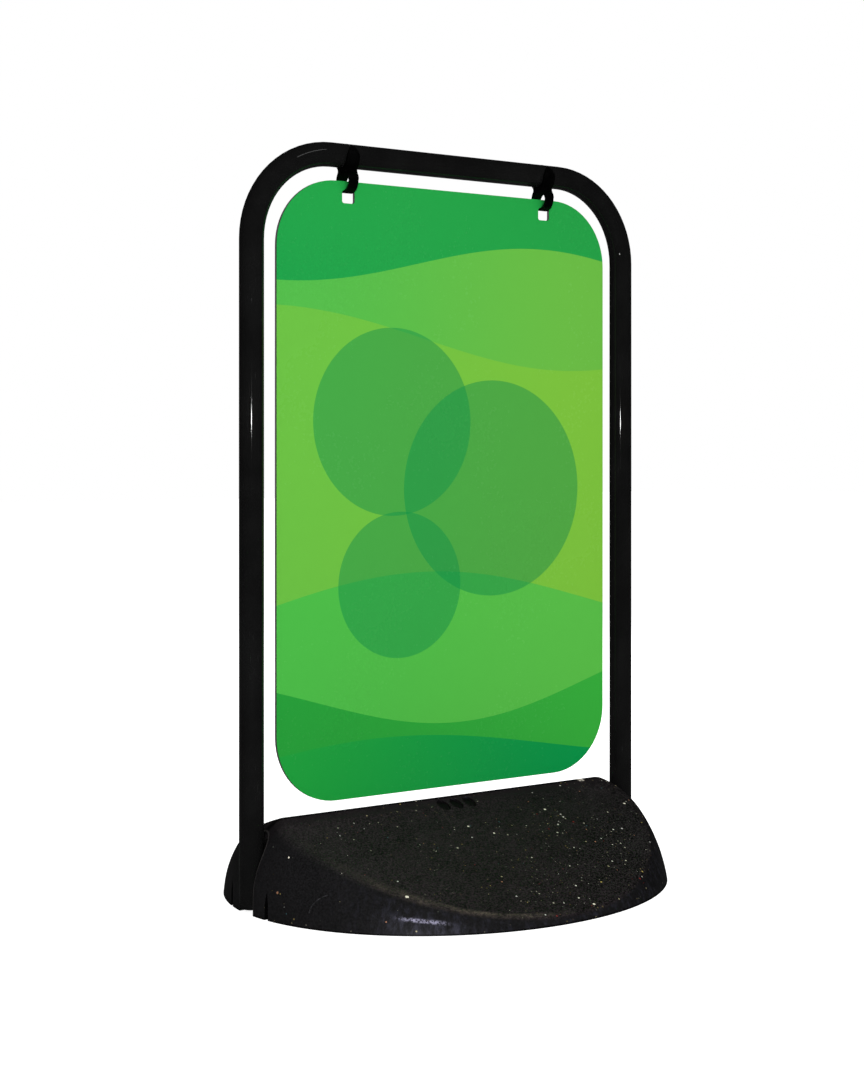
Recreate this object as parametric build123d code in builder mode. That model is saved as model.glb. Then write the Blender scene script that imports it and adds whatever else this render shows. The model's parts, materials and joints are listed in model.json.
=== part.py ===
from build123d import *
from math import atan, cos, sin
import os

# Pavement swing sign: a printed panel hangs by two plastic hooks from a bent tube hoop,
# whose legs stand in notches at the ends of a heavy oval base.
# Millimetres. X runs along the base's ridge, Y from front to back, Z up.
# The origin lies on the ground under the middle of the base.

# Panel: a composite sheet with a printed film on each face
panel_width = 508.0
panel_height = 762.0
panel_corner_radius = 84.0
core_thickness = 3.0
skin_thickness = 0.5
film_thickness = 0.12

# Holes near the panel's top edge, one for each hook
hook_spacing = 304.8
hole_height = 16.0
hole_corner_radius = 3.0
hole_margin = 11.0
hole_side_clearance = 2.25

# Gaps round the hanging panel
side_gap = 18.2
top_gap = 16.5
ridge_gap = 12.5

# Hoop
tube_diameter = 30.0
tube_wall = 1.5
bend_radius = 110.0
foot_gap = 5.5

# Caps that close the hoop's feet
cap_head = 6.5
cap_rounding = 4.0
cap_stem = 15.0
cap_fit = 0.05

# Hooks: an open clip round the bar above, an eye through the panel below
eye_width = 13.5
eye_radius = 12.0
eye_half_length = 13.3
eye_band = 3.0
neck_fillet = 4.0
clip_width = 18.0
clip_skew = 2.0
clip_clearance = 0.3
clip_foot_band = 4.2
clip_tip_band = 0.5
split_gap = 1.2
split_angle = 215.0
hang_clearance = 0.3

# The hooks' arms part a little behind the bar's middle and end as leaves, with one edge that
# slants in to the tip and one that bulges
arm_parting = 1.0
leaf_foot = -8.0
slant_x = 9.3
slant_rise = 2.2
bulge_x = 5.8
bulge_rise = 4.0
leaf_tip_width = 2.4
front_tip_rise = 11.4
rear_tip_rise = 15.6

# Base, whose ends stop a little short of the legs' outer sides
leg_stand_out = 7.2
base_depth = 512.0
base_height = 109.0
roof_edge_height = 6.6
ridge_rounding = 8.0
shoulder_rounding = 16.0
skirt_upright = 20.0
skirt_shoulder_run = 68.0
skirt_headroom = 4.0
skirt_end_power = 2.0
skirt_side_power = 1.3
skirt_dome_height = 170.0
skirt_steps = 8

# Notches that take the legs
notch_clearance = 1.0
hollow_clearance = 5.0
hollow_foot = 32.0
hollow_top = 89.0
slit_offset = 42.0
slit_width = 6.0
slit_height = 35.0
slit_length = 34.0

# Screws that hold the legs, reached from pockets under the base
bolt_height = 35.0
bolt_diameter = 8.0
bolt_length = 30.0
bolt_head_flats = 13.0
bolt_head_height = 5.3
bolt_hole_clearance = 0.5
washer_diameter = 24.0
washer_thickness = 2.0
washer_clearance = 0.2
fixing_wall = 16.0
pocket_length = 60.0
pocket_width = 44.0
pocket_height = 53.0

# Threaded inserts riveted into the legs
insert_diameter = 11.0
insert_flange_diameter = 13.0
insert_flange = 1.0
insert_length = 14.0
insert_clearance = 0.05
insert_seat_depth = 1.5

# Moulded ovals beside the ridge
oval_count = 3
oval_length = 16.0
oval_width = 24.0
oval_spacing = 20.0
oval_depth = 2.0
oval_offset = 18.0

# How far cutting tools reach past what they cut
cut_margin = 20.0

# Derived places
tube_radius = tube_diameter / 2
bore_radius = tube_radius - tube_wall
leg_x = panel_width / 2 + side_gap + tube_radius
panel_bottom = base_height + ridge_gap
panel_top = panel_bottom + panel_height
panel_middle = (panel_bottom + panel_top) / 2
bar_z = panel_top + top_gap + tube_radius
leg_end = foot_gap + cap_head
hole_width = eye_width + 2 * hole_side_clearance
hole_top = panel_top - hole_margin
hole_middle = hole_top - hole_height / 2
eye_z = hole_top - hang_clearance + eye_radius
hook_x = hook_spacing / 2
half_length = leg_x + tube_radius - leg_stand_out
base_length = 2 * half_length
half_depth = base_depth / 2
roof_slope = (base_height - roof_edge_height) / half_depth
roof_angle = atan(roof_slope)
ridge_reach = ridge_rounding * sin(roof_angle)
ridge_drop = ridge_rounding * (1 / cos(roof_angle) - 1)
notch_radius = tube_radius + notch_clearance
hollow_radius = tube_radius + hollow_clearance
notch_back = leg_x - notch_radius
pocket_face = notch_back - fixing_wall
SIDES = (("left", -1), ("right", 1))

os.makedirs("parts", exist_ok=True)


def save(builder, name):
    """Label a finished piece and write it to its own file"""
    builder.part.label = name
    export_step(builder.part, f"parts/{name}.step")
    print(name, round(builder.part.volume / 1000, 2), "cm3")


# Base moulding

def skirt_half_length(height):
    """Half length of the skirt's oval at a height: upright below, then rounding in"""
    if height <= skirt_upright:
        return half_length
    rise = (height - skirt_upright) / (base_height + skirt_headroom - skirt_upright)
    run = (1 - rise ** skirt_end_power) ** (1 / skirt_end_power)
    return half_length - skirt_shoulder_run * (1 - run)


def skirt_half_depth(height):
    """Half depth of the skirt's oval at a height: leaning in all the way up"""
    rise = height / skirt_dome_height
    return half_depth * (1 - rise ** skirt_side_power) ** (1 / skirt_side_power)


with BuildPart() as base_moulding:
    for step in range(skirt_steps + 1):
        level = (base_height + skirt_headroom / 2) * step / skirt_steps
        with BuildSketch(Plane.XY.offset(level)):
            Ellipse(skirt_half_length(level), skirt_half_depth(level))
    loft()
    # The two roof planes meet at the ridge
    with BuildSketch(Plane.YZ.offset(-half_length - cut_margin)):
        with BuildLine():
            Polyline(
                (-half_depth - cut_margin, -cut_margin),
                (-half_depth - cut_margin, roof_edge_height - cut_margin * roof_slope),
                (0, base_height),
                (half_depth + cut_margin, roof_edge_height - cut_margin * roof_slope),
                (half_depth + cut_margin, -cut_margin),
                close=True,
            )
        make_face()
    extrude(amount=base_length + 2 * cut_margin, mode=Mode.INTERSECT)
    # The long edges off the ground are where the roof meets the skirt
    long_edges = base_moulding.edges().filter_by(lambda edge: edge.length > base_length)
    shoulders = long_edges.filter_by(lambda edge: edge.center().Z > roof_edge_height / 2)
    fillet(shoulders, shoulder_rounding)
    # The ridge is rounded over
    with BuildSketch(Plane.YZ.offset(-half_length)):
        with BuildLine():
            crest = ThreePointArc(
                (-ridge_reach, base_height - ridge_reach * roof_slope),
                (0, base_height - ridge_drop),
                (ridge_reach, base_height - ridge_reach * roof_slope),
            )
            Polyline(
                crest @ 1,
                (ridge_reach, base_height + cut_margin),
                (-ridge_reach, base_height + cut_margin),
                crest @ 0,
            )
        make_face()
    extrude(amount=base_length, mode=Mode.SUBTRACT)
    # Upright slots with round backs take the legs
    for side, sign in SIDES:
        with BuildSketch():
            with Locations((sign * leg_x, 0)):
                Circle(notch_radius)
            with Locations((sign * (leg_x + cut_margin), 0)):
                Rectangle(2 * cut_margin, 2 * notch_radius)
        extrude(amount=base_height + cut_margin, mode=Mode.SUBTRACT)
        # The slot widens upwards as far as the collar
        for level, radius in ((hollow_foot, notch_radius), (hollow_top, hollow_radius)):
            with BuildSketch(Plane.XY.offset(level)):
                with Locations((sign * leg_x, 0)):
                    Circle(radius)
                with Locations((sign * (leg_x + cut_margin), 0)):
                    Rectangle(2 * cut_margin, 2 * radius)
        loft(mode=Mode.SUBTRACT)
        # Relief slits beside the slot close to a point at the top
        for flank in (-1, 1):
            with BuildSketch(Plane.YZ.offset(sign * (half_length - slit_length))):
                with BuildLine():
                    Polyline(
                        (flank * slit_offset - slit_width / 2, -cut_margin),
                        (flank * slit_offset - slit_width / 2, slit_height / 2),
                        (flank * slit_offset, slit_height),
                        (flank * slit_offset + slit_width / 2, slit_height / 2),
                        (flank * slit_offset + slit_width / 2, -cut_margin),
                        close=True,
                    )
                make_face()
            extrude(amount=sign * (slit_length + cut_margin), mode=Mode.SUBTRACT)
        # A pocket under the base leads to the screw
        with BuildSketch():
            with Locations((sign * (pocket_face - pocket_length / 2), 0)):
                Rectangle(pocket_length, pocket_width)
        extrude(amount=pocket_height, mode=Mode.SUBTRACT)
        with BuildSketch(Plane.YZ.offset(sign * (pocket_face - cut_margin))):
            with Locations((0, bolt_height)):
                Circle(bolt_diameter / 2 + bolt_hole_clearance)
        extrude(amount=sign * (fixing_wall + 2 * cut_margin), mode=Mode.SUBTRACT)
        with BuildSketch(Plane.YZ.offset(sign * (notch_back - insert_seat_depth))):
            with Locations((0, bolt_height)):
                Circle(insert_flange_diameter / 2 + bolt_hole_clearance)
        extrude(amount=sign * cut_margin, mode=Mode.SUBTRACT)
    # Plain moulded ovals in the front slope, beside the ridge
    oval_plane = Plane(
        origin=(0, -oval_offset, base_height - oval_offset * roof_slope),
        x_dir=(1, 0, 0),
        z_dir=(0, -roof_slope, 1),
    )
    with BuildSketch(oval_plane):
        with GridLocations(oval_spacing, 0, oval_count, 1):
            Ellipse(oval_length / 2, oval_width / 2)
    extrude(amount=-oval_depth, mode=Mode.SUBTRACT)
    save(base_moulding, "base_moulding")


# Hoop: one tube bent twice, open at its two feet

with BuildPart() as frame_hoop:
    with BuildLine(Plane.XZ) as hoop_path:
        FilletPolyline(
            (-leg_x, leg_end),
            (-leg_x, bar_z),
            (leg_x, bar_z),
            (leg_x, leg_end),
            radius=bend_radius,
        )
    with BuildSketch(Plane.XY.offset(leg_end)):
        with Locations((-leg_x, 0)):
            Circle(tube_radius)
            Circle(bore_radius, mode=Mode.SUBTRACT)
    sweep(path=hoop_path.line)
    # A hole in the inner side of each leg takes the threaded insert
    for side, sign in SIDES:
        with BuildSketch(Plane.YZ.offset(sign * leg_x)):
            with Locations((0, bolt_height)):
                Circle(insert_diameter / 2 + insert_clearance)
        extrude(amount=-sign * (tube_radius + cut_margin), mode=Mode.SUBTRACT)
    save(frame_hoop, "frame_hoop")


# Caps in the hoop's feet

for side, sign in SIDES:
    with BuildPart() as leg_cap:
        with BuildSketch(Plane.XY.offset(foot_gap)):
            with Locations((sign * leg_x, 0)):
                Circle(tube_radius)
        extrude(amount=cap_head)
        fillet(leg_cap.edges().sort_by(Axis.Z)[0], cap_rounding)
        with BuildSketch(Plane.XY.offset(leg_end)):
            with Locations((sign * leg_x, 0)):
                Circle(bore_radius - cap_fit)
        extrude(amount=cap_stem)
        chamfer(leg_cap.edges().sort_by(Axis.Z)[-1], tube_wall)
        save(leg_cap, f"leg_cap_{side}")


# Screws, washers and inserts that hold the legs in the base

def across(sign, distance):
    """Plane square to the screw's axis, facing out towards the leg"""
    return Plane(origin=(sign * distance, 0, bolt_height), x_dir=(0, 1, 0), z_dir=(sign, 0, 0))


for side, sign in SIDES:
    with BuildPart() as bolt_washer:
        with BuildSketch(across(sign, pocket_face - washer_thickness)):
            Circle(washer_diameter / 2)
            Circle(bolt_diameter / 2 + washer_clearance, mode=Mode.SUBTRACT)
        extrude(amount=washer_thickness)
        save(bolt_washer, f"bolt_washer_{side}")

    with BuildPart() as frame_bolt:
        with BuildSketch(across(sign, pocket_face - washer_thickness - bolt_head_height)):
            RegularPolygon(bolt_head_flats / 2, 6, major_radius=False)
        extrude(amount=bolt_head_height)
        with BuildSketch(across(sign, pocket_face - washer_thickness)):
            Circle(bolt_diameter / 2)
        extrude(amount=bolt_length)
        save(frame_bolt, f"frame_bolt_{side}")

    with BuildPart() as thread_insert:
        with BuildSketch(across(sign, leg_x - tube_radius - insert_flange)):
            Circle(insert_flange_diameter / 2)
        extrude(amount=insert_flange)
        with BuildSketch(across(sign, leg_x - tube_radius)):
            Circle(insert_diameter / 2)
        extrude(amount=insert_length)
        with BuildSketch(across(sign, leg_x - tube_radius - insert_flange)):
            Circle(bolt_diameter / 2 + insert_clearance)
        extrude(amount=insert_flange + insert_length, mode=Mode.SUBTRACT)
        save(thread_insert, f"thread_insert_{side}")


# Panel: a dark core between two skins, with a printed film on each face

def save_panel_layer(name, front, thickness):
    """One layer of the panel, from its front face backwards"""
    with BuildPart() as layer:
        with BuildSketch(Plane.XZ.offset(-front)):
            with Locations((0, panel_middle)):
                RectangleRounded(panel_width, panel_height, panel_corner_radius)
            with Locations((-hook_x, hole_middle), (hook_x, hole_middle)):
                RectangleRounded(hole_width, hole_height, hole_corner_radius, mode=Mode.SUBTRACT)
        extrude(amount=-thickness)
        save(layer, name)


save_panel_layer("panel_core", -core_thickness / 2, core_thickness)
save_panel_layer("panel_skin_front", -core_thickness / 2 - skin_thickness, skin_thickness)
save_panel_layer("panel_skin_rear", core_thickness / 2, skin_thickness)
save_panel_layer("print_film_front", -core_thickness / 2 - skin_thickness - film_thickness, film_thickness)
save_panel_layer("print_film_rear", core_thickness / 2 + skin_thickness, film_thickness)


# Hooks: open clip, neck and eye in one moulding

clip_bore = tube_radius + clip_clearance
clip_outer_radius = clip_bore + (clip_foot_band + clip_tip_band) / 2
clip_drop = (clip_foot_band - clip_tip_band) / 2
eye_outer_radius = eye_radius + eye_band
block_width = clip_width + 2 * clip_skew

for side, sign in SIDES:
    hook_middle = sign * hook_x
    with BuildPart() as hook:
        with BuildSketch(Plane.YZ.offset(hook_middle - block_width / 2)):
            with Locations((0, eye_z)):
                Circle(eye_outer_radius)
            with Locations((0, bar_z - clip_drop)):
                Circle(clip_outer_radius)
        extrude(amount=block_width)
        fillet(hook.edges().filter_by(Axis.X).filter_by_position(Axis.Z, eye_z, bar_z - clip_drop), neck_fillet)
        with BuildSketch(Plane.YZ.offset(hook_middle - block_width / 2)):
            with Locations((0, bar_z)):
                Circle(clip_bore)
            with Locations((0, eye_z)):
                Ellipse(eye_half_length, eye_radius)
        extrude(amount=block_width, mode=Mode.SUBTRACT)
        # The front of the clip stands a little to the left, its rear to the right
        with BuildSketch(Plane.XY.offset(eye_z - eye_outer_radius - cut_margin)):
            with BuildLine():
                Polyline(
                    (hook_middle - clip_width / 2 - clip_skew, -clip_outer_radius),
                    (hook_middle + clip_width / 2 - clip_skew, -clip_outer_radius),
                    (hook_middle + clip_width / 2 + clip_skew, clip_outer_radius),
                    (hook_middle - clip_width / 2 + clip_skew, clip_outer_radius),
                    close=True,
                )
            make_face()
        extrude(amount=4 * eye_outer_radius + 2 * cut_margin, mode=Mode.INTERSECT)
        # The eye is narrower than the clip
        for flank in (-1, 1):
            with BuildSketch(Plane.XZ.offset(-2 * tube_radius)):
                with BuildLine():
                    Polyline(
                        (hook_middle + flank * block_width / 2, bar_z - tube_radius),
                        (hook_middle + flank * eye_width / 2, eye_z),
                        (hook_middle + flank * eye_width / 2, eye_z - eye_outer_radius - cut_margin),
                        (hook_middle + flank * block_width, eye_z - eye_outer_radius - cut_margin),
                        (hook_middle + flank * block_width, bar_z - tube_radius),
                        close=True,
                    )
                make_face()
            extrude(amount=4 * tube_radius, mode=Mode.SUBTRACT)
        # Each arm narrows to a leaf's tip: the front one stops short of the bar's top, the rear
        # one reaches it
        for face, tip_rise in ((-1, front_tip_rise), (1, rear_tip_rise)):
            slant_foot = hook_middle + face * (clip_width / 2 + clip_skew)
            bulge_foot = hook_middle - face * (clip_width / 2 - clip_skew)
            with BuildSketch(Plane.XZ.offset(-arm_parting)):
                with BuildLine():
                    slant = ThreePointArc(
                        (slant_foot, bar_z + leaf_foot),
                        (hook_middle + face * slant_x, bar_z + slant_rise),
                        (hook_middle + face * leaf_tip_width / 2, bar_z + tip_rise),
                    )
                    bulge = ThreePointArc(
                        (hook_middle - face * leaf_tip_width / 2, bar_z + tip_rise),
                        (hook_middle - face * bulge_x, bar_z + bulge_rise),
                        (bulge_foot, bar_z + leaf_foot),
                    )
                    Line(slant @ 1, bulge @ 0)
                    Polyline(
                        bulge @ 1,
                        (bulge_foot - face * cut_margin, bar_z + leaf_foot),
                        (bulge_foot - face * cut_margin, bar_z + clip_outer_radius + cut_margin),
                        (slant_foot + face * cut_margin, bar_z + clip_outer_radius + cut_margin),
                        (slant_foot + face * cut_margin, bar_z + leaf_foot),
                        slant @ 0,
                    )
                make_face()
            extrude(amount=-face * 2 * tube_radius, mode=Mode.SUBTRACT)
        # A slanting split at the back of the eye lets the panel in
        with BuildSketch(Plane.YZ.offset(hook_middle - block_width / 2)):
            with Locations(Location((0, eye_z), -split_angle)):
                with Locations((eye_radius + eye_band / 2, 0)):
                    Rectangle(3 * eye_band, split_gap)
        extrude(amount=block_width, mode=Mode.SUBTRACT)
        save(hook, f"hook_{side}")
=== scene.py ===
import json
import math

import bpy
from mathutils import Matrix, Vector

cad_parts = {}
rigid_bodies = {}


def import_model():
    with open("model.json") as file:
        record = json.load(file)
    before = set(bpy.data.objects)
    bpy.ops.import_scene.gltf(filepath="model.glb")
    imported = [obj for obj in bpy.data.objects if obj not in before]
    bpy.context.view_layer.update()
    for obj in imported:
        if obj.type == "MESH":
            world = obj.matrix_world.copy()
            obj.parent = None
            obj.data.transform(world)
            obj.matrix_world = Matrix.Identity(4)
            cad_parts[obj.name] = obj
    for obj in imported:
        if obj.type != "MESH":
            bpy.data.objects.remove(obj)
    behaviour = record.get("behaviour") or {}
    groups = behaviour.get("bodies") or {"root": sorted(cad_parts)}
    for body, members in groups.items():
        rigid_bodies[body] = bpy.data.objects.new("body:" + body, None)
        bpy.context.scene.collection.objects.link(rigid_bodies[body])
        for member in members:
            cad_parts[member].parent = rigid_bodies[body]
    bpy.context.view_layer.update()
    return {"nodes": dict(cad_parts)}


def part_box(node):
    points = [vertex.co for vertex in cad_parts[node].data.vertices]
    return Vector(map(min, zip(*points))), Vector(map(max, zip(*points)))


# A pavement swing sign: a printed panel hangs by two plastic hooks from a bent tube hoop, and the
# hoop's legs stand in notches at the ends of a heavy oval base. Metres, +Z up, front face towards -Y.

bpy.ops.object.select_all(action="SELECT")
bpy.ops.object.delete()
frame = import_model()
nodes = frame["nodes"]
bpy.ops.object.select_all(action="DESELECT")


# Base moulding
# A heavy oval block pressed from recycled plastic and rubber crumb, near black, with stray flecks of
# the coloured waste it is made from. Its gabled top is grainy, its skirt smoother from the mould wall.


def paint(red, green, blue):
    """A colour given as the eye reads it, 0 to 255, as the linear values that a shader takes"""
    shares = [value / 255 for value in (red, green, blue)]
    linear = [share / 12.92 if share <= 0.04045 else ((share + 0.055) / 1.055) ** 2.4 for share in shares]
    return (*linear, 1.0)


class Wire:
    """A socket in a material's node tree. Sums and products of wires add their Math nodes."""

    def __init__(self, tree, socket=None):
        self.tree = tree
        self.socket = socket

    def node(self, kind, settings, inputs, output=0):
        """Adds a node, makes its settings, then fills its sockets with values or wires"""
        made = self.tree.nodes.new(kind)
        for name, value in settings.items():
            setattr(made, name, value)
        for name, value in inputs.items():
            if isinstance(value, Wire):
                self.tree.links.new(value.socket, made.inputs[name])
            else:
                made.inputs[name].default_value = value
        return Wire(self.tree, made.outputs[output])

    def math(self, operation, first, second=0.0):
        return self.node("ShaderNodeMath", {"operation": operation}, {0: first, 1: second})

    def __add__(self, other):
        return self.math("ADD", self, other)

    __radd__ = __add__

    def __sub__(self, other):
        return self.math("SUBTRACT", self, other)

    def __rsub__(self, other):
        return self.math("SUBTRACT", other, self)

    def __mul__(self, other):
        return self.math("MULTIPLY", self, other)

    __rmul__ = __mul__

    def __truediv__(self, other):
        return self.math("DIVIDE", self, other)

    def __gt__(self, other):
        return self.math("GREATER_THAN", self, other)

    def __lt__(self, other):
        return self.math("LESS_THAN", self, other)

    def __abs__(self):
        return self.math("ABSOLUTE", self)

    def positive(self):
        """This value, or 0 where it is negative"""
        return self.math("MAXIMUM", self, 0.0)

    def sine(self):
        return self.math("SINE", self)

    def diagonal(self, other):
        """Length of the diagonal whose two sides are this wire and the other"""
        return self.math("SQRT", self * self + other * other)

    def ramp(self, low, high, start=0.0, end=1.0):
        """Runs smoothly from start at low to end at high"""
        inputs = {"Value": self, "From Min": low, "From Max": high, "To Min": start, "To Max": end}
        return self.node("ShaderNodeMapRange", {"interpolation_type": "SMOOTHSTEP"}, inputs)

    def fall(self, low, high):
        """Runs smoothly from 1 at low to 0 at high"""
        return self.ramp(low, high, 1.0, 0.0)

    def span(self, start, full, fading, gone):
        """Rises from 0 at start to 1 at full, and falls from 1 at fading to 0 at gone"""
        return self.ramp(start, full) * self.fall(fading, gone)

    def blend(self, first, second):
        """The first colour where this wire is 0, the second where it is 1"""
        return self.node("ShaderNodeMix", {"data_type": "RGBA"}, {0: self, 6: first, 7: second}, output=2)

    def coat(self, tone, mask, strength=1.0):
        """This colour with a tone laid over it where the mask is 1; strength says how much of it"""
        return (mask * strength).blend(self, tone)

    def streaked(self, squeeze):
        """This place with its height squeezed, so that noise over it runs in upright streaks"""
        return self.node("ShaderNodeMapping", {}, {"Vector": self, "Scale": (1.0, 1.0, squeeze)})

    def noise(self, scale, detail=2.0, roughness=0.5):
        """Soft noise over this place"""
        inputs = {"Vector": self, "Scale": scale, "Detail": detail, "Roughness": roughness}
        return self.node("ShaderNodeTexNoise", {}, inputs)

    def cells(self, scale, output="Distance", flat=False):
        """Distance of this place to the nearest of a cloud of points, or that point's random colour"""
        settings = {"voronoi_dimensions": "2D" if flat else "3D"}
        return self.node("ShaderNodeTexVoronoi", settings, {"Vector": self, "Scale": scale}, output)

    def away(self, point):
        """Distance of this place from a point"""
        return self.node("ShaderNodeVectorMath", {"operation": "DISTANCE"}, {0: self, 1: point}, "Value")

    def split(self, kind, socket):
        """The three parts of this vector or colour"""
        return [self.node(kind, {}, {socket: self}, part) for part in range(3)]

    def bump(self, distance, strength=1.0, below=None):
        """The normal that this height gives, on top of the normal below it"""
        inputs = {"Height": self, "Distance": distance, "Strength": strength}
        if below is not None:
            inputs["Normal"] = below
        return self.node("ShaderNodeBump", {}, inputs)


def new_material(name, **constants):
    """A material with its constant sockets set; gives it, its shader and a wire to build on"""
    material = bpy.data.materials.new(name)
    material.use_nodes = True
    tree = material.node_tree
    shader = tree.nodes["Principled BSDF"]
    for socket, value in constants.items():
        shader.inputs[socket.replace("_", " ")].default_value = value
    return material, shader, Wire(tree)


def join(shader, **wires):
    """Links wires to the shader's sockets"""
    for socket, wire in wires.items():
        wire.tree.links.new(wire.socket, shader.inputs[socket.replace("_", " ")])


def axes(wire, output="Object"):
    """The piece's own coordinates in metres, or its faces' directions, as one vector and three wires"""
    place = wire.node("ShaderNodeTexCoord", {}, {}, output)
    return place, *place.split("ShaderNodeSeparateXYZ", "Vector")


def dress(name, material):
    """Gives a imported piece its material"""
    for slot in nodes[name].material_slots:
        slot.material = material


# The moulding's forms: the gable before its ridge is rounded, the shoulder's oval round the top, how
# far the three moulded ovals reach, and the slot round each leg, which widens upwards
gable_height = 0.109
roof_slope = 0.4
shoulder_across = 0.258
shoulder_along = 0.246
ovals_reach = (0.03, 0.034)
cap_low, cap_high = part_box("leg_cap_right")
leg_axis = (cap_low.x + cap_high.x) / 2
slot_flare = (0.032, 0.089)
slot_radii = (0.016, 0.02)

# Wear, marks and painted light: each span has the places where the mark starts, is full, begins to fade and
# is gone
green_cancel_across = (-0.28, -0.16, 0.02, 0.22)
scuff_and_highlight_across = (-0.265, -0.17, -0.06, 0.02)
sheen_smudge_across = (-0.236, -0.186, -0.154, -0.104)
highlight_stripe_across = (-0.205, -0.181, -0.169, -0.145)
highlight_stripe_level = (0.0123, 0.0155, 0.0157, 0.0189)
highlight_stripe_middle = -0.175
highlight_stripe_fall = 0.12
ridge_chips_across = (0.21, 0.211, 0.2185, 0.2195)
scratch_along = (-0.119, -0.117, -0.102, -0.1)
scratch_height = (0.016, 0.02, 0.05, 0.054)
scratch_centre_along = -0.1269
scratch_centre_height = 0.017
scratch_radius = 0.0246
slot_rim = (-0.0006, 0.0, 0.0009, 0.0015)

# Chips that stand out: place on the base, radius and colour
cream = paint(252, 246, 224)
amber = paint(150, 108, 80)
chips = (
    ((-0.180, -0.174, 0.039), 0.0024, cream),
    ((0.043, -0.240, 0.013), 0.0019, cream),
    ((0.114, -0.054, 0.087), 0.0019, cream),
    ((0.239, -0.065, 0.083), 0.0018, cream),
    ((-0.016, -0.066, 0.083), 0.0015, cream),
    ((0.009, -0.086, 0.075), 0.0015, cream),
    ((-0.269, -0.057, 0.074), 0.0012, cream),
    ((-0.285, -0.058, 0.035), 0.0017, amber),
)

# Kinds of fleck: cells per metre, share of the cells, radius in cells, and whether they are laid flat
# on the slopes, seen from above, or in the round on the skirt
dull = [paint(96, 90, 70), paint(80, 84, 76), paint(112, 98, 60), paint(74, 60, 48), paint(120, 118, 104)]
pale = [
    paint(250, 246, 226),
    paint(190, 180, 140),
    paint(196, 174, 96),
    paint(224, 224, 218),
    paint(252, 250, 236),
    paint(150, 40, 36),
    paint(168, 164, 146),
    paint(200, 142, 110),
    paint(60, 92, 98),
    paint(214, 210, 186),
]
fleck_kinds = (
    (250.0, 0.18, 0.21, True, dull),
    (155.0, 0.17, 0.14, True, pale),
    (230.0, 0.2, 0.2, False, dull),
    (110.0, 0.3, 0.13, False, pale),
)

# Flecks and chips are solid out to this share of their radius, then fade
fleck_core = 0.75


class BaseFace:
    """The wires that the base's finishes and painted light share: a point's place, the zone it lies in, and
    the grain
    """

    def __init__(self, wire):
        self.place, self.across, self.along, self.height = axes(wire)
        _, _, self.facing, self.upward = axes(wire, "Normal")
        self.off_middle = abs(self.across)
        self.off_ridge = abs(self.along)
        # 1 on the shoulder, less inside it
        self.oval = (self.across / shoulder_across).diagonal(self.along / shoulder_along)
        # All but the underside; the two slopes; the slopes without their smooth left end
        self.outside = self.upward > -0.5
        self.roof = self.upward.ramp(0.6, 0.88)
        smooth_end = self.oval.ramp(0.95, 1.1) * self.across.fall(-0.12, -0.02)
        self.top = self.roof * (1 - smooth_end)
        # The crest is worn smooth, and so is the left end of the slopes; the crest's darker colour is
        # painted shade
        self.crest = self.off_ridge.fall(0.013, 0.023)
        self.rough = self.top * (1 - self.crest * 0.8) * self.across.ramp(-0.25, -0.14, 0.15, 1.0)
        # The crumb's grain, and the uneven outline of what lies in it
        self.grain = self.place.noise(480.0, detail=2.0, roughness=0.7)
        self.ragged = self.place.noise(700.0, detail=1.0) * 0.9 + 0.55


def crumb_colour(base):
    """The crumb: coarse and grey on the slopes, finer and a little bluer on the skirt, with painted light
    and shade on it
    """
    coarse = base.grain.ramp(0.4, 0.63)
    fine = base.grain.ramp(0.2, 0.8)
    patches = base.place.noise(22.0, detail=4.0, roughness=0.6).ramp(0.3, 0.7)
    shade = base.rough * coarse + (1 - base.rough) * fine
    # Painted light and shade: the crumb is lighter towards the left and darker towards the right
    shade = (shade * 0.85 + patches * 0.15) * base.across.ramp(-0.3, 0.25, 1.12, 0.86)
    # The panel throws green light on the slopes below it, so the crumb there is painted a little redder to
    # cancel that light
    green_cancel = base.across.span(*green_cancel_across)
    slopes = shade.blend(paint(3, 2, 3), green_cancel.blend(paint(55, 50, 52), paint(57, 48, 53)))
    skirt = shade.blend(paint(12, 12, 12), paint(33, 32, 34))
    colour = base.top.blend(skirt, slopes)
    # Painted shade: the rounded crest and the ridge line along its top are darker
    colour = colour.coat(paint(25, 22, 24), base.crest, strength=0.6)
    return colour.coat(paint(4, 4, 4), base.off_ridge.fall(0.002, 0.006), strength=0.85)


def scuffed_and_highlit(colour, base):
    """A pale brown scuff along the front shoulder with a painted highlight in it, wide and faint at its
    left end, broken by the grain
    """
    inner_edge = base.across.ramp(-0.19, -0.12, 0.93, 0.975)
    crease = base.oval.span(inner_edge, 0.99, 0.995, 1.025) * (base.along < 0) * base.outside
    clear = base.across.span(*scuff_and_highlight_across) * base.across.ramp(-0.2, -0.12, 0.5, 0.95)
    worn = base.place.noise(46.0, detail=5.0, roughness=0.7).ramp(0.25, 0.6)
    mottle = base.place.noise(260.0, detail=4.0, roughness=0.8).ramp(0.4, 0.6, 0.2, 1.0)
    # Scuff and painted highlight in one pale brown band on the shoulder's rounded edge
    return colour.coat(paint(106, 95, 85), crease * worn * clear * mottle, strength=0.8)


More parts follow.
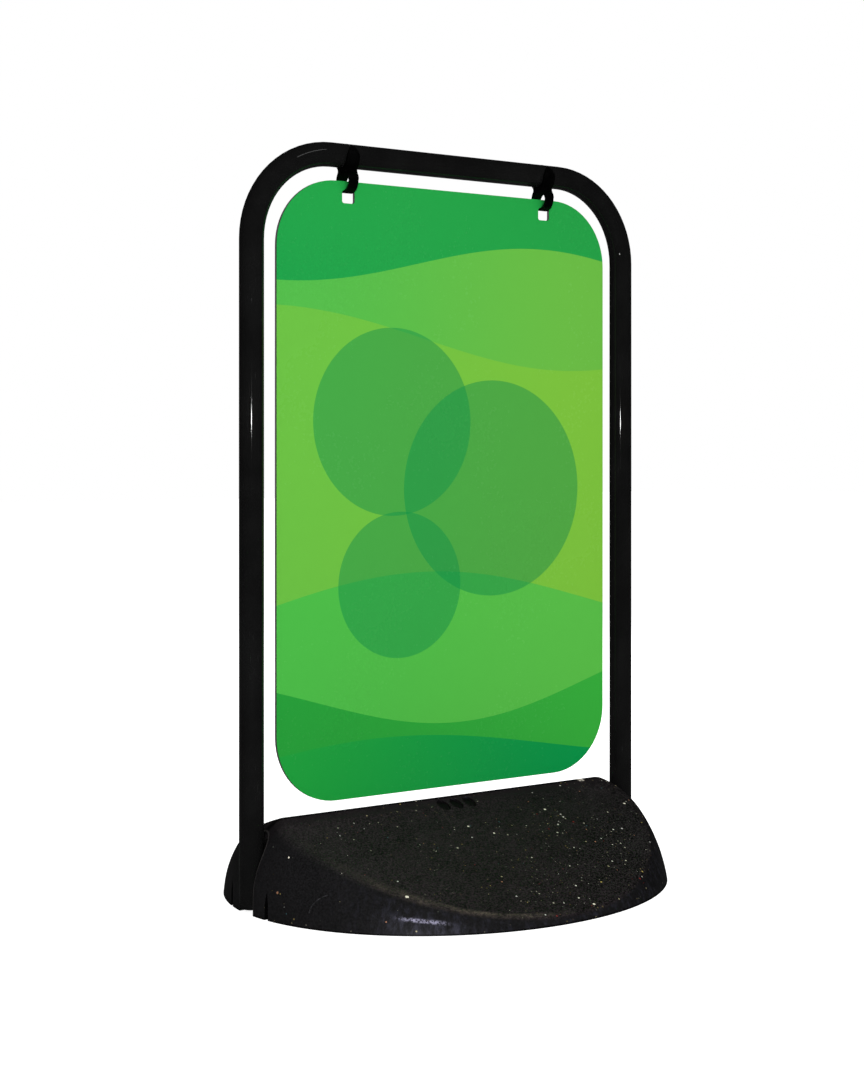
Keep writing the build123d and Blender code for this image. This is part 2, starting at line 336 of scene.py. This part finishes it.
def dusty_and_highlit(colour, base):
    """Dust on the skirt's front in upright streaks, a smudge near the foot of dust with a painted bluish
    sheen, and a pale stripe that is a painted highlight
    """
    front = (1 - base.top) * base.facing.fall(-0.8, -0.5)
    dust = base.place.streaked(0.22).noise(150.0, detail=4.0, roughness=0.7)
    colour = colour.coat(paint(74, 74, 92), front * dust.ramp(0.46, 0.68), strength=0.2)
    # The sheen smudge and the highlight stripe fall a little to the right
    level = base.height + (base.across - highlight_stripe_middle) * highlight_stripe_fall
    # Painted bluish sheen with dust: a faint smudge near the foot
    sheen_smudge = front * base.across.span(*sheen_smudge_across) * level.fall(0.012, 0.022)
    colour = colour.coat(paint(142, 140, 168), sheen_smudge * dust.ramp(0.3, 0.75), strength=0.11)
    # Painted highlight: a pale bluish stripe on the skirt's front, broken into specks
    highlight_stripe = front * base.across.span(*highlight_stripe_across) * level.span(*highlight_stripe_level)
    speckle = base.place.noise(360.0, detail=3.0, roughness=0.7).ramp(0.4, 0.6)
    return colour.coat(paint(190, 186, 216), highlight_stripe * speckle, strength=0.85)


def flecked(colour, base):
    """Flecks, thicker towards the right of the slopes and along the foot, and gathered in clusters"""
    clusters = base.place.noise(16.0, detail=1.0).ramp(0.36, 0.6, 0.15, 1.0)
    foot = base.height.fall(0.003, 0.008) * base.outside
    crowding = base.across.ramp(-0.2, 0.1, 0.3, 1.0) * clusters + foot * 1.5
    for scale, share, radius, flat, tones in fleck_kinds:
        seed = base.place.cells(scale, "Color", flat)
        lot, tint, size = seed.split("ShaderNodeSeparateColor", "Color")
        spread = base.place.cells(scale, flat=flat) * base.ragged / (size * size + 0.45)
        zone = base.top if flat else 1 - base.top
        mask = spread.fall(radius * fleck_core, radius) * (lot > 1 - crowding * share) * zone
        tone = tones[0]
        for index, other in enumerate(tones[1:], start=1):
            tone = (tint > index / len(tones)).blend(tone, other)
        colour = colour.coat(tone, mask, strength=0.9)
    for chip, radius, tone in chips:
        spread = base.place.away(chip) * base.ragged
        colour = colour.coat(tone, spread.fall(radius * fleck_core, radius))
    return colour


def marked(colour, base):
    """The ridge is chipped pale near its right end, and the left end carries one curved scratch"""
    ridge_chips = base.across.span(*ridge_chips_across) * base.off_ridge.fall(0.005, 0.007)
    colour = colour.coat(paint(206, 200, 186), ridge_chips * base.grain.ramp(0.4, 0.48))
    arc = (base.along - scratch_centre_along).diagonal(base.height - scratch_centre_height)
    line = abs(arc - scratch_radius).fall(0.0002, 0.0006) * base.across.fall(-0.21, -0.2)
    scratch = line * base.along.span(*scratch_along) * base.height.span(*scratch_height)
    return colour.coat(paint(84, 84, 88), scratch * base.grain.ramp(0.35, 0.6), strength=0.5)


def hollowed(colour, base):
    """Painted shade inside the slots and slits and along the foot, the slots' rims rubbed paler with a
    painted highlight, and the sunk ovals darker inside
    """
    # Painted shade on the walls of the slots and slits
    shaded_walls = abs(base.facing).ramp(0.9, 0.97) * (base.off_middle > 0.2)
    inward = (leg_axis - base.off_middle).positive()
    past_slot = inward.diagonal(base.along) - base.height.ramp(*slot_flare, *slot_radii)
    # The slots' rims are rubbed paler and carry a painted highlight
    rim_wear_and_highlight = past_slot.span(*slot_rim) * (base.off_middle > 0.24) * (1 - shaded_walls)
    colour = colour.coat(paint(74, 72, 70), rim_wear_and_highlight, strength=0.4)
    colour = colour.coat(paint(2, 2, 2), shaded_walls, strength=0.85)
    # Painted shade: a dark line along the foot
    foot_shade = base.height.fall(0.0012, 0.0024) * base.outside
    colour = colour.coat(paint(3, 3, 3), foot_shade, strength=0.8)
    # The sunk ovals are darker inside
    sunk = (gable_height - base.off_ridge * roof_slope - base.height).ramp(0.0004, 0.0012)
    near = base.off_middle.fall(*ovals_reach) * base.off_ridge.fall(*ovals_reach)
    return colour.coat(paint(7, 4, 6), sunk * near * base.top * (base.along < 0), strength=0.8)


def crumb_material():
    """Pressed crumb, pitted on the slopes and smoother elsewhere, with all its finishes and painted light
    and shade laid over it
    """
    material, shader, wire = new_material("Base_Crumb", Specular_IOR_Level=0.25)
    base = BaseFace(wire)
    colour = crumb_colour(base)
    for overlay in (scuffed_and_highlit, dusty_and_highlit, flecked, marked, hollowed):
        colour = overlay(colour, base)
    roughness = base.roof.ramp(0.0, 1.0, 0.42, 0.75) + (base.grain - 0.5) * 0.25 - base.crest * 0.15
    relief = base.rough * 0.7 + 0.1
    pits = (1 - base.place.cells(380.0)).bump(0.0006, relief)
    grained = base.grain.bump(0.0008, relief, below=pits)
    join(shader, Base_Color=colour, Roughness=roughness, Normal=grained)
    return material


dress("base_moulding", crumb_material())


# Hoop
# One length of 30 mm steel tube bent twice, powder coated gloss black. The coat has a slight orange
# peel and a few fine rub marks.


def powder_coat_material():
    """Black coat of slightly uneven gloss, rubbed in fine upright marks"""
    material, shader, wire = new_material("Gloss_Powder_Coat", Specular_IOR_Level=0.25)
    place, *_ = axes(wire)
    peel = place.noise(420.0, detail=1.0)
    haze = place.noise(14.0, detail=4.0, roughness=0.6)
    rubs = place.streaked(0.06).noise(900.0, detail=2.0).ramp(0.66, 0.74) * haze.ramp(0.5, 0.62)
    colour = haze.ramp(0.35, 0.7).blend(paint(15, 15, 15), paint(20, 20, 20))
    colour = colour.coat(paint(52, 52, 52), rubs, strength=0.35)
    roughness = haze.ramp(0.3, 0.7, 0.03, 0.055) + rubs * 0.2
    join(shader, Base_Color=colour, Roughness=roughness, Normal=peel.bump(0.00012, strength=0.06))
    return material


dress("frame_hoop", powder_coat_material())


# Leg caps
# Domed plugs of black polythene, one in each foot of the tube. Each is moulded in one piece with the
# stem that is pressed into the bore.


def moulded_plastic(name, dark, light, roughness_low, roughness_high, gloss):
    """Moulded black plastic: fine spark-eroded grain, slightly uneven gloss"""
    material, shader, wire = new_material(name, Specular_IOR_Level=gloss)
    place, *_ = axes(wire)
    spark = place.noise(1500.0, detail=2.0)
    haze = place.noise(55.0, detail=3.0)
    colour = haze.ramp(0.35, 0.7).blend(dark, light)
    roughness = haze.ramp(0.3, 0.7, roughness_low, roughness_high)
    join(shader, Base_Color=colour, Roughness=roughness, Normal=spark.bump(0.0001, strength=0.4))
    return material


cap_plastic = moulded_plastic("Cap_Polythene", paint(14, 14, 15), paint(24, 24, 25), 0.42, 0.6, 0.4)
for side in ("left", "right"):
    dress(f"leg_cap_{side}", cap_plastic)


# Leg screws, washers and inserts
# Zinc plated steel. A threaded insert is riveted into the inner side of each leg, and a hexagon screw
# with a wide washer reaches it from a pocket under the base.


def zinc_material():
    """Bright zinc with a faint cloudy bloom"""
    material, shader, wire = new_material("Zinc_Plate", Metallic=1.0)
    place, *_ = axes(wire)
    bloom = place.noise(160.0, detail=4.0, roughness=0.65)
    colour = bloom.ramp(0.3, 0.7).blend(paint(150, 150, 140), paint(196, 196, 190))
    join(shader, Base_Color=colour, Roughness=bloom.ramp(0.3, 0.7, 0.28, 0.5))
    return material


zinc = zinc_material()
for side in ("left", "right"):
    for kind in ("bolt_washer", "frame_bolt", "thread_insert"):
        dress(f"{kind}_{side}", zinc)


# Hooks
# One-piece figure-of-eight hooks moulded in black nylon. An open clip goes round the bar above, and a
# split eye passes through the panel's hole below.

hook_plastic = moulded_plastic("Hook_Nylon", paint(1, 1, 1), paint(4, 4, 4), 0.4, 0.55, 0.12)
for side in ("left", "right"):
    dress(f"hook_{side}", hook_plastic)


# Panel core and skins
# A dark polythene core bonded between two thin aluminium skins. The sheet is sawn to shape, so its
# layers show round the panel and inside the two holes.


def core_material():
    """Sawn polythene, dull and a little rough"""
    material, shader, wire = new_material("Panel_Core", Specular_IOR_Level=0.3)
    place, *_ = axes(wire)
    cut = place.noise(700.0, detail=3.0)
    colour = cut.ramp(0.3, 0.7).blend(paint(96, 76, 92), paint(124, 102, 120))
    join(shader, Base_Color=colour, Roughness=cut.ramp(0.3, 0.7, 0.55, 0.75), Normal=cut.bump(0.0002))
    return material


def skin_material():
    """Mill finished aluminium"""
    material, shader, wire = new_material("Panel_Skin", Metallic=1.0)
    place, *_ = axes(wire)
    brush = place.noise(500.0, detail=2.0)
    colour = brush.ramp(0.3, 0.7).blend(paint(78, 66, 76), paint(104, 92, 102))
    join(shader, Base_Color=colour, Roughness=brush.ramp(0.3, 0.7, 0.4, 0.55))
    return material


dress("panel_core", core_material())
skin = skin_material()
for face in ("front", "rear"):
    dress(f"panel_skin_{face}", skin)


# Print films
# A glossy printed vinyl on each face: rolling bands and overlapping discs in clear greens, a generic
# design that runs to the panel's edge.

film_low, film_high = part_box("print_film_front")
film_middle = (film_low.z + film_high.z) / 2
print_edge = 0.0003

# Bands from the top down: level of the band's upper edge over the panel's middle, swing, pitch and
# phase of its wave, and the band's colours at the left and at the right
bands = (
    (0.285, 0.03, 8.0, 0.4, paint(82, 187, 74), paint(110, 193, 70)),
    (0.19, 0.035, 7.0, 3.4, paint(107, 192, 67), paint(128, 199, 62)),
    (-0.15, 0.045, 6.0, 1.8, paint(76, 190, 72), paint(92, 196, 74)),
    (-0.26, 0.04, 7.5, 4.6, paint(38, 162, 58), paint(56, 180, 62)),
    (-0.34, 0.03, 6.0, 2.2, paint(30, 164, 62), paint(0, 156, 76)),
)

# Discs: centre to the right of and above the panel's middle, and radius
discs = (
    (-0.085, 0.085, 0.118),
    (0.07, 0.0, 0.14),
    (-0.075, -0.12, 0.092),
)


def print_material(name, sign):
    """The printed face; sign turns the design so that it reads the same from each side"""
    material, shader, wire = new_material(name, Specular_IOR_Level=0.2)
    place, across, _, height = axes(wire)
    right = across * sign
    up = height - film_middle
    colour = (right * 0.6 + up).ramp(-0.4, 0.4).blend(paint(0, 152, 74), paint(36, 164, 72))
    for level, swing, pitch, phase, left_tone, right_tone in bands:
        edge = (right * pitch + phase).sine() * swing + level
        tone = (right * 1.4).ramp(-0.4, 0.4).blend(left_tone, right_tone)
        colour = colour.coat(tone, (edge - up).ramp(-print_edge, print_edge))
    for centre_right, centre_up, radius in discs:
        inside = radius - (right - centre_right).diagonal(up - centre_up)
        colour = colour.coat(paint(14, 151, 72), inside.ramp(-print_edge, print_edge), strength=0.62)
    dust = place.noise(240.0, detail=3.0)
    sheen = place.noise(6.0, detail=2.0)
    colour = colour.coat(paint(210, 226, 200), dust.ramp(0.62, 0.8), strength=0.008)
    roughness = sheen.ramp(0.3, 0.7, 0.2, 0.28) + dust.ramp(0.5, 0.8) * 0.05
    join(shader, Base_Color=colour, Roughness=roughness, Normal=dust.bump(0.00006, strength=0.12))
    return material


dress("print_film_front", print_material("Printed_Film_Front", 1))
dress("print_film_rear", print_material("Printed_Film_Rear", -1))


# Studio
# The photographer's place, a pale floor that runs to a white backdrop, two soft lamps beside the camera
# and one behind the sign, and two more that draw the thin lights on the tube's legs and bend.

camera_place = Vector((-1.3569, -1.9404, 0.5585))
camera_heading = math.radians(34.45)
camera_lens = 61.56
horizon_rise = 95.1 / 1080

camera_data = bpy.data.cameras.new("Camera")
camera = bpy.data.objects.new("Camera", camera_data)
bpy.context.scene.collection.objects.link(camera)
camera.location = camera_place
camera.rotation_euler = (math.radians(90), 0, -camera_heading)
camera_data.lens = camera_lens
camera_data.sensor_width = 36.0
camera_data.shift_y = -horizon_rise
bpy.context.scene.camera = camera

# The floor takes the lamps' light and the sign's shadow, glows towards the camera, and is all but dark
# in reflections
floor_size = 30.0
floor_drop = 0.0004
floor_glow = 0.9
floor_unmirrored = 0.93
bpy.ops.mesh.primitive_plane_add(size=floor_size, location=(0, 0, -floor_drop))
floor = bpy.context.object
floor.name = "Floor"
floor_material, floor_shader, floor_wire = new_material("Pale_Floor", Roughness=0.9, Specular_IOR_Level=0.0)
floor_shader.inputs["Base Color"].default_value = paint(222, 222, 222)
seen = floor_wire.node("ShaderNodeLightPath", {}, {}, "Is Camera Ray")
mirrored = floor_wire.node("ShaderNodeLightPath", {}, {}, "Is Glossy Ray")
lit = Wire(floor_wire.tree, floor_shader.outputs[0])
glow = floor_wire.node("ShaderNodeEmission", {}, {"Color": (1, 1, 1, 1), "Strength": seen * floor_glow})
both = floor_wire.node("ShaderNodeAddShader", {}, {0: lit, 1: glow})
unlit = floor_wire.node("ShaderNodeEmission", {}, {"Strength": 0.0})
shown = floor_wire.node("ShaderNodeMixShader", {}, {0: mirrored * floor_unmirrored, 1: both, 2: unlit})
floor_wire.tree.links.new(shown.socket, floor_wire.tree.nodes["Material Output"].inputs["Surface"])
floor.data.materials.append(floor_material)

# The room is white to the camera, dimmer as light on the sign, and nearly dark in reflections
room_light = 0.4
mirrored_light = 0.01
world = bpy.data.worlds.new("Studio")
bpy.context.scene.world = world
world.use_nodes = True
sky = Wire(world.node_tree)
direct = sky.node("ShaderNodeLightPath", {}, {}, "Is Camera Ray")
glossy = sky.node("ShaderNodeLightPath", {}, {}, "Is Glossy Ray")
through = sky.node("ShaderNodeLightPath", {}, {}, "Is Transmission Ray")
white = direct + through
strength = room_light + white * (1 - room_light) + glossy * (mirrored_light - room_light)
background = world.node_tree.nodes["Background"]
background.inputs["Color"].default_value = (1, 1, 1, 1)
world.node_tree.links.new(strength.socket, background.inputs["Strength"])


def lamp(name, place, target, size, power, in_reflections):
    """A rectangular lamp of a width and height, aimed at a point"""
    bpy.ops.object.light_add(type="AREA", location=place)
    made = bpy.context.object
    made.name = name
    made.data.shape = "RECTANGLE"
    made.data.size, made.data.size_y = size
    made.data.energy = power
    made.visible_glossy = in_reflections
    made.rotation_euler = (Vector(target) - Vector(place)).to_track_quat("-Z", "Y").to_euler()


lamp("Key_Lamp", (-0.8, -2.7, 1.9), (0, 0, 0.4), (1.0, 1.0), power=31.0, in_reflections=False)
lamp("Catch_Lamp", (-1.34, -1.93, 0.622), (0, 0, 0.6), (0.18, 0.04), power=3.2, in_reflections=True)
lamp("Bend_Lamp", (0.74, -1.9, 2.5), (-0.2, 0, 0.9), (0.62, 0.17), power=1.3, in_reflections=True)
lamp("Front_Lamp", (-1.5, -2.2, 0.75), (0, 0, 0.45), (1.2, 0.8), power=16.0, in_reflections=False)
lamp("Back_Lamp", (1.6, 2.3, 1.9), (0, 0, 0.45), (1.5, 1.5), power=50.0, in_reflections=False)

bpy.context.scene.view_settings.view_transform = "Standard"
